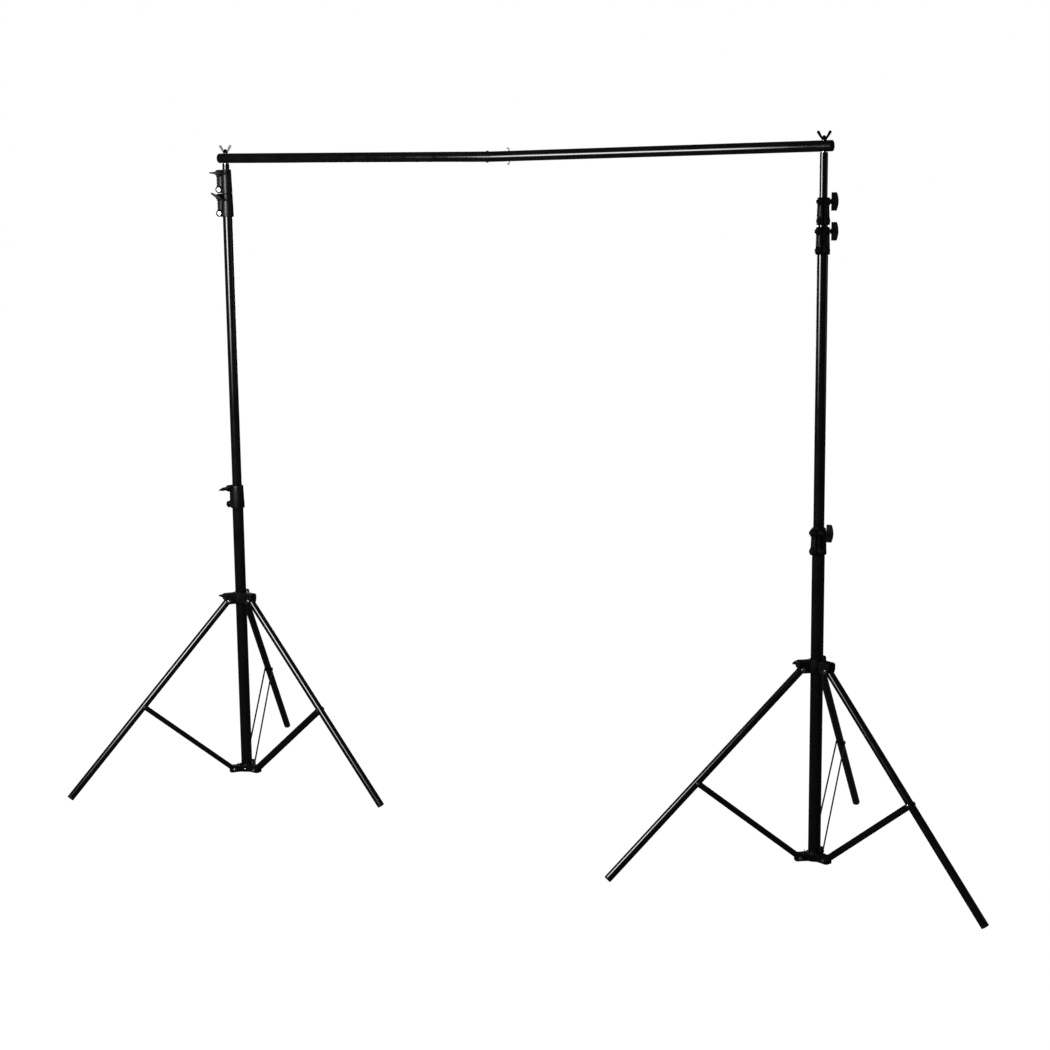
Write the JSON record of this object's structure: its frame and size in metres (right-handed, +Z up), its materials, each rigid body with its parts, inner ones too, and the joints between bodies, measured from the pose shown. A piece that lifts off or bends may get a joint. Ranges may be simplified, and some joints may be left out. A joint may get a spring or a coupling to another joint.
{
  "type": "background support system",
  "caption": "Folding telescopic light stands joined by a two-piece round crossbar that carries a photo backdrop; legs fold, columns slide and clamp.",
  "frame": {"origin": "centre of the floor rectangle that the set stands on", "axes": "+X along the crossbar from the left stand to the right one, +Z up, -Y towards the viewer"},
  "size_m": [2.8698, 1.0576, 2.0402],
  "materials": {
    "black_casting": "satin black coat on die castings, slightly pebbled",
    "black_enamel": "gloss black coat on drawn tube and strip, with a crisp highlight along each tube",
    "black_plastic": "satin black moulded plastic",
    "die_cast": "grey die-cast zinc, lightly tumbled",
    "zinc_steel": "bright zinc plate"
  },
  "bodies": {
    "left_base": {"left_base_column": "black_enamel", "left_column_plug": "black_plastic", "left_lower_hub": "black_casting", "left_collar_1": "black_casting"},
    "left_hub": {"left_leg_hub": "black_casting"},
    "left_leg_1": {"left_leg_1": "black_enamel", "left_foot_1": "black_plastic"},
    "left_brace_1": {"left_brace_1": "black_enamel"},
    "left_leg_2": {"left_leg_2": "black_enamel", "left_foot_2": "black_plastic"},
    "left_brace_2": {"left_brace_2": "black_enamel"},
    "left_leg_3": {"left_leg_3": "black_enamel", "left_foot_3": "black_plastic"},
    "left_brace_3": {"left_brace_3": "black_enamel"},
    "left_knob": {"left_hub_knob": "black_plastic"},
    "left_riser_1": {"left_riser_1": "black_enamel", "left_collar_2": "black_casting"},
    "left_riser_2": {"left_riser_2": "black_enamel", "left_collar_3": "black_casting"},
    "left_riser_3": {"left_riser_3": "black_enamel", "left_stud": "zinc_steel"},
    "left_handle_1": {"left_clamp_handle_1": "black_plastic"},
    "left_handle_2": {"left_clamp_handle_2": "black_plastic"},
    "left_handle_3": {"left_clamp_handle_3": "black_plastic"},
    "left_nut": {"left_wing_nut": "die_cast"},
    "right_base": {"right_base_column": "black_enamel", "right_column_plug": "black_plastic", "right_lower_hub": "black_casting", "right_collar_1": "black_casting"},
    "right_hub": {"right_leg_hub": "black_casting"},
    "right_leg_1": {"right_leg_1": "black_enamel", "right_foot_1": "black_plastic"},
    "right_brace_1": {"right_brace_1": "black_enamel"},
    "right_leg_2": {"right_leg_2": "black_enamel", "right_foot_2": "black_plastic"},
    "right_brace_2": {"right_brace_2": "black_enamel"},
    "right_leg_3": {"right_leg_3": "black_enamel", "right_foot_3": "black_plastic"},
    "right_brace_3": {"right_brace_3": "black_enamel"},
    "right_knob": {"right_hub_knob": "black_plastic"},
    "right_riser_1": {"right_riser_1": "black_enamel", "right_collar_2": "black_casting"},
    "right_riser_2": {"right_riser_2": "black_enamel", "right_collar_3": "black_casting"},
    "right_riser_3": {"right_riser_3": "black_enamel", "right_stud": "zinc_steel"},
    "right_handle_1": {"right_clamp_handle_1": "black_plastic"},
    "right_handle_2": {"right_clamp_handle_2": "black_plastic"},
    "right_handle_3": {"right_clamp_handle_3": "black_plastic"},
    "right_nut": {"right_wing_nut": "die_cast"},
    "crossbar": {"crossbar_clip": "zinc_steel", "crossbar_joint_sleeve": "zinc_steel", "crossbar_left_cap": "black_plastic", "crossbar_left_half": "black_enamel", "crossbar_right_cap": "black_plastic", "crossbar_right_half": "black_enamel", "crossbar_rivet": "black_enamel"}
  },
  "joints": [
    {"name": "left_hub_slide", "type": "slide", "parent": "left_base", "child": "left_hub", "axis": [0, 0, 1], "range_m": [0, 0.2417]},
    {"name": "left_leg_1_fold", "type": "hinge", "parent": "left_hub", "child": "left_leg_1", "pos_m": [-1.09401, -0.10196, 0.59325], "axis": [0.7837, -0.6211, 0], "range_deg": [0, 40.25]},
    {"name": "left_brace_1_fold", "type": "hinge", "parent": "left_base", "child": "left_brace_1", "pos_m": [-1.09525, -0.10353, 0.0315], "axis": [-0.7837, 0.6211, 0], "range_deg": [0, 47.48]},
    {"name": "left_leg_2_fold", "type": "hinge", "parent": "left_hub", "child": "left_leg_2", "pos_m": [-1.02476, -0.07455, 0.59325], "axis": [0.1461, 0.9893, 0], "range_deg": [0, 40.25]},
    {"name": "left_brace_2_fold", "type": "hinge", "parent": "left_base", "child": "left_brace_2", "pos_m": [-1.02279, -0.07484, 0.0315], "axis": [-0.1461, -0.9893, 0], "range_deg": [0, 47.48]},
    {"name": "left_leg_3_fold", "type": "hinge", "parent": "left_hub", "child": "left_leg_3", "pos_m": [-1.08313, -0.02829, 0.59325], "axis": [-0.9298, -0.3681, 0], "range_deg": [0, 40.25]},
    {"name": "left_brace_3_fold", "type": "hinge", "parent": "left_base", "child": "left_brace_3", "pos_m": [-1.08387, -0.02643, 0.0315], "axis": [0.9298, 0.3681, 0], "range_deg": [0, 47.48]},
    {"name": "left_hub_knob_turn", "type": "hinge", "parent": "left_hub", "child": "left_knob", "pos_m": [-1.07228, -0.06875, 0.60025], "axis": [-0.9952, -0.0976, 0], "range_deg": [0, 270]},
    {"name": "left_clamp_1_turn", "type": "hinge", "parent": "left_base", "child": "left_handle_1", "pos_m": [-1.08913, -0.06282, 0.957], "axis": [-0.2419, -0.9703, 0], "range_deg": [0, 270]},
    {"name": "left_clamp_2_turn", "type": "hinge", "parent": "left_riser_1", "child": "left_handle_2", "pos_m": [-1.08753, -0.07813, 1.8811], "axis": [0.4384, -0.8988, 0], "range_deg": [0, 270]},
    {"name": "left_clamp_3_turn", "type": "hinge", "parent": "left_riser_2", "child": "left_handle_3", "pos_m": [-1.08753, -0.07813, 1.9544], "axis": [0.4384, -0.8988, 0], "range_deg": [0, 270]},
    {"name": "left_wing_nut_turn", "type": "hinge", "parent": "left_riser_3", "child": "left_nut", "pos_m": [-1.0673, -0.06827, 2.0153], "axis": [0, 0, 1], "range_deg": [0, 270]},
    {"name": "right_hub_slide", "type": "slide", "parent": "right_base", "child": "right_hub", "axis": [0, 0, 1], "range_m": [0, 0.2617]},
    {"name": "right_leg_1_fold", "type": "hinge", "parent": "right_hub", "child": "right_leg_1", "pos_m": [0.84813, -0.09384, 0.57742], "axis": [0.5948, -0.8039, 0], "range_deg": [0, 41.95]},
    {"name": "right_brace_1_fold", "type": "hinge", "parent": "right_base", "child": "right_brace_1", "pos_m": [0.84652, -0.09503, 0.03561], "axis": [-0.5948, 0.8039, 0], "range_deg": [0, 49.7]},
    {"name": "right_leg_2_fold", "type": "hinge", "parent": "right_hub", "child": "right_leg_2", "pos_m": [0.92213, -0.08541, 0.57742], "axis": [0.3987, 0.9171, 0], "range_deg": [0, 41.95]},
    {"name": "right_brace_2_fold", "type": "hinge", "parent": "right_base", "child": "right_brace_2", "pos_m": [0.92397, -0.08621, 0.03561], "axis": [-0.3987, -0.9171, 0], "range_deg": [0, 49.7]},
    {"name": "right_leg_3_fold", "type": "hinge", "parent": "right_hub", "child": "right_leg_3", "pos_m": [0.87783, -0.02554, 0.57742], "axis": [-0.9936, -0.1132, 0], "range_deg": [0, 41.95]},
    {"name": "right_brace_3_fold", "type": "hinge", "parent": "right_base", "child": "right_brace_3", "pos_m": [0.8776, -0.02355, 0.03561], "axis": [0.9936, 0.1132, 0], "range_deg": [0, 49.7]},
    {"name": "right_hub_knob_turn", "type": "hinge", "parent": "right_hub", "child": "right_knob", "pos_m": [0.8827, -0.06827, 0.58442], "axis": [-0.9863, 0.165, 0], "range_deg": [0, 270]},
    {"name": "right_clamp_1_turn", "type": "hinge", "parent": "right_base", "child": "right_handle_1", "pos_m": [0.88738, -0.09027, 0.96111], "axis": [0.9781, 0.2079, 0], "range_deg": [0, 270]},
    {"name": "right_clamp_2_turn", "type": "hinge", "parent": "right_riser_1", "child": "right_handle_2", "pos_m": [0.89002, -0.08954, 1.7761], "axis": [0.9455, 0.3256, 0], "range_deg": [0, 270]},
    {"name": "right_clamp_3_turn", "type": "hinge", "parent": "right_riser_2", "child": "right_handle_3", "pos_m": [0.89113, -0.08913, 1.8544], "axis": [0.9272, 0.3746, 0], "range_deg": [0, 270]},
    {"name": "right_wing_nut_turn", "type": "hinge", "parent": "right_riser_3", "child": "right_nut", "pos_m": [0.8827, -0.06827, 2.0153], "axis": [0, 0, 1], "range_deg": [0, 270]},
    {"name": "left_riser_1_slide", "type": "slide", "parent": "left_base", "child": "left_riser_1", "axis": [0, 0, 1], "range_m": [-0.735, 0]},
    {"name": "left_riser_2_slide", "type": "slide", "parent": "left_riser_1", "child": "left_riser_2", "axis": [0, 0, 1], "range_m": [0, 0.8]},
    {"name": "left_riser_3_slide", "type": "slide", "parent": "left_riser_2", "child": "left_riser_3", "axis": [0, 0, 1], "range_m": [0, 0.676]},
    {"name": "crossbar_swing", "type": "hinge", "parent": "left_riser_3", "child": "crossbar", "pos_m": [-1.0673, -0.06827, 1.985], "axis": [0, 0, 1], "range_deg": [-180, 180]},
    {"name": "right_stand_swing", "type": "hinge", "parent": "crossbar", "child": "right_riser_3", "pos_m": [0.8827, -0.06827, 1.985], "axis": [0, 0, 1], "range_deg": [-180, 180]},
    {"name": "right_riser_3_slide", "type": "slide", "parent": "right_riser_3", "child": "right_riser_2", "axis": [0, 0, -1], "range_m": [-0.117, 0.676]},
    {"name": "right_riser_2_slide", "type": "slide", "parent": "right_riser_2", "child": "right_riser_1", "axis": [0, 0, -1], "range_m": [-0.005, 0.8]},
    {"name": "right_riser_1_slide", "type": "slide", "parent": "right_riser_1", "child": "right_base", "axis": [0, 0, -1], "range_m": [-0.735, 0.1]}
  ],
  "couplings": [
    {"joint": "left_leg_1_fold", "follows": "left_hub_slide", "rad_per_m": 2.9029},
    {"joint": "left_brace_1_fold", "follows": "left_hub_slide", "rad_per_m": 3.425},
    {"joint": "left_leg_2_fold", "follows": "left_hub_slide", "rad_per_m": 2.9029},
    {"joint": "left_brace_2_fold", "follows": "left_hub_slide", "rad_per_m": 3.425},
    {"joint": "left_leg_3_fold", "follows": "left_hub_slide", "rad_per_m": 2.9029},
    {"joint": "left_brace_3_fold", "follows": "left_hub_slide", "rad_per_m": 3.425},
    {"joint": "right_leg_1_fold", "follows": "right_hub_slide", "rad_per_m": 2.7944},
    {"joint": "right_brace_1_fold", "follows": "right_hub_slide", "rad_per_m": 3.3116},
    {"joint": "right_leg_2_fold", "follows": "right_hub_slide", "rad_per_m": 2.7944},
    {"joint": "right_brace_2_fold", "follows": "right_hub_slide", "rad_per_m": 3.3116},
    {"joint": "right_leg_3_fold", "follows": "right_hub_slide", "rad_per_m": 2.7944},
    {"joint": "right_brace_3_fold", "follows": "right_hub_slide", "rad_per_m": 3.3116},
    {"joint": "right_riser_1_slide", "follows": "left_riser_1_slide", "ratio": 1},
    {"joint": "right_riser_2_slide", "follows": "left_riser_2_slide", "ratio": 1},
    {"joint": "right_riser_3_slide", "follows": "left_riser_3_slide", "ratio": 1}
  ]
}
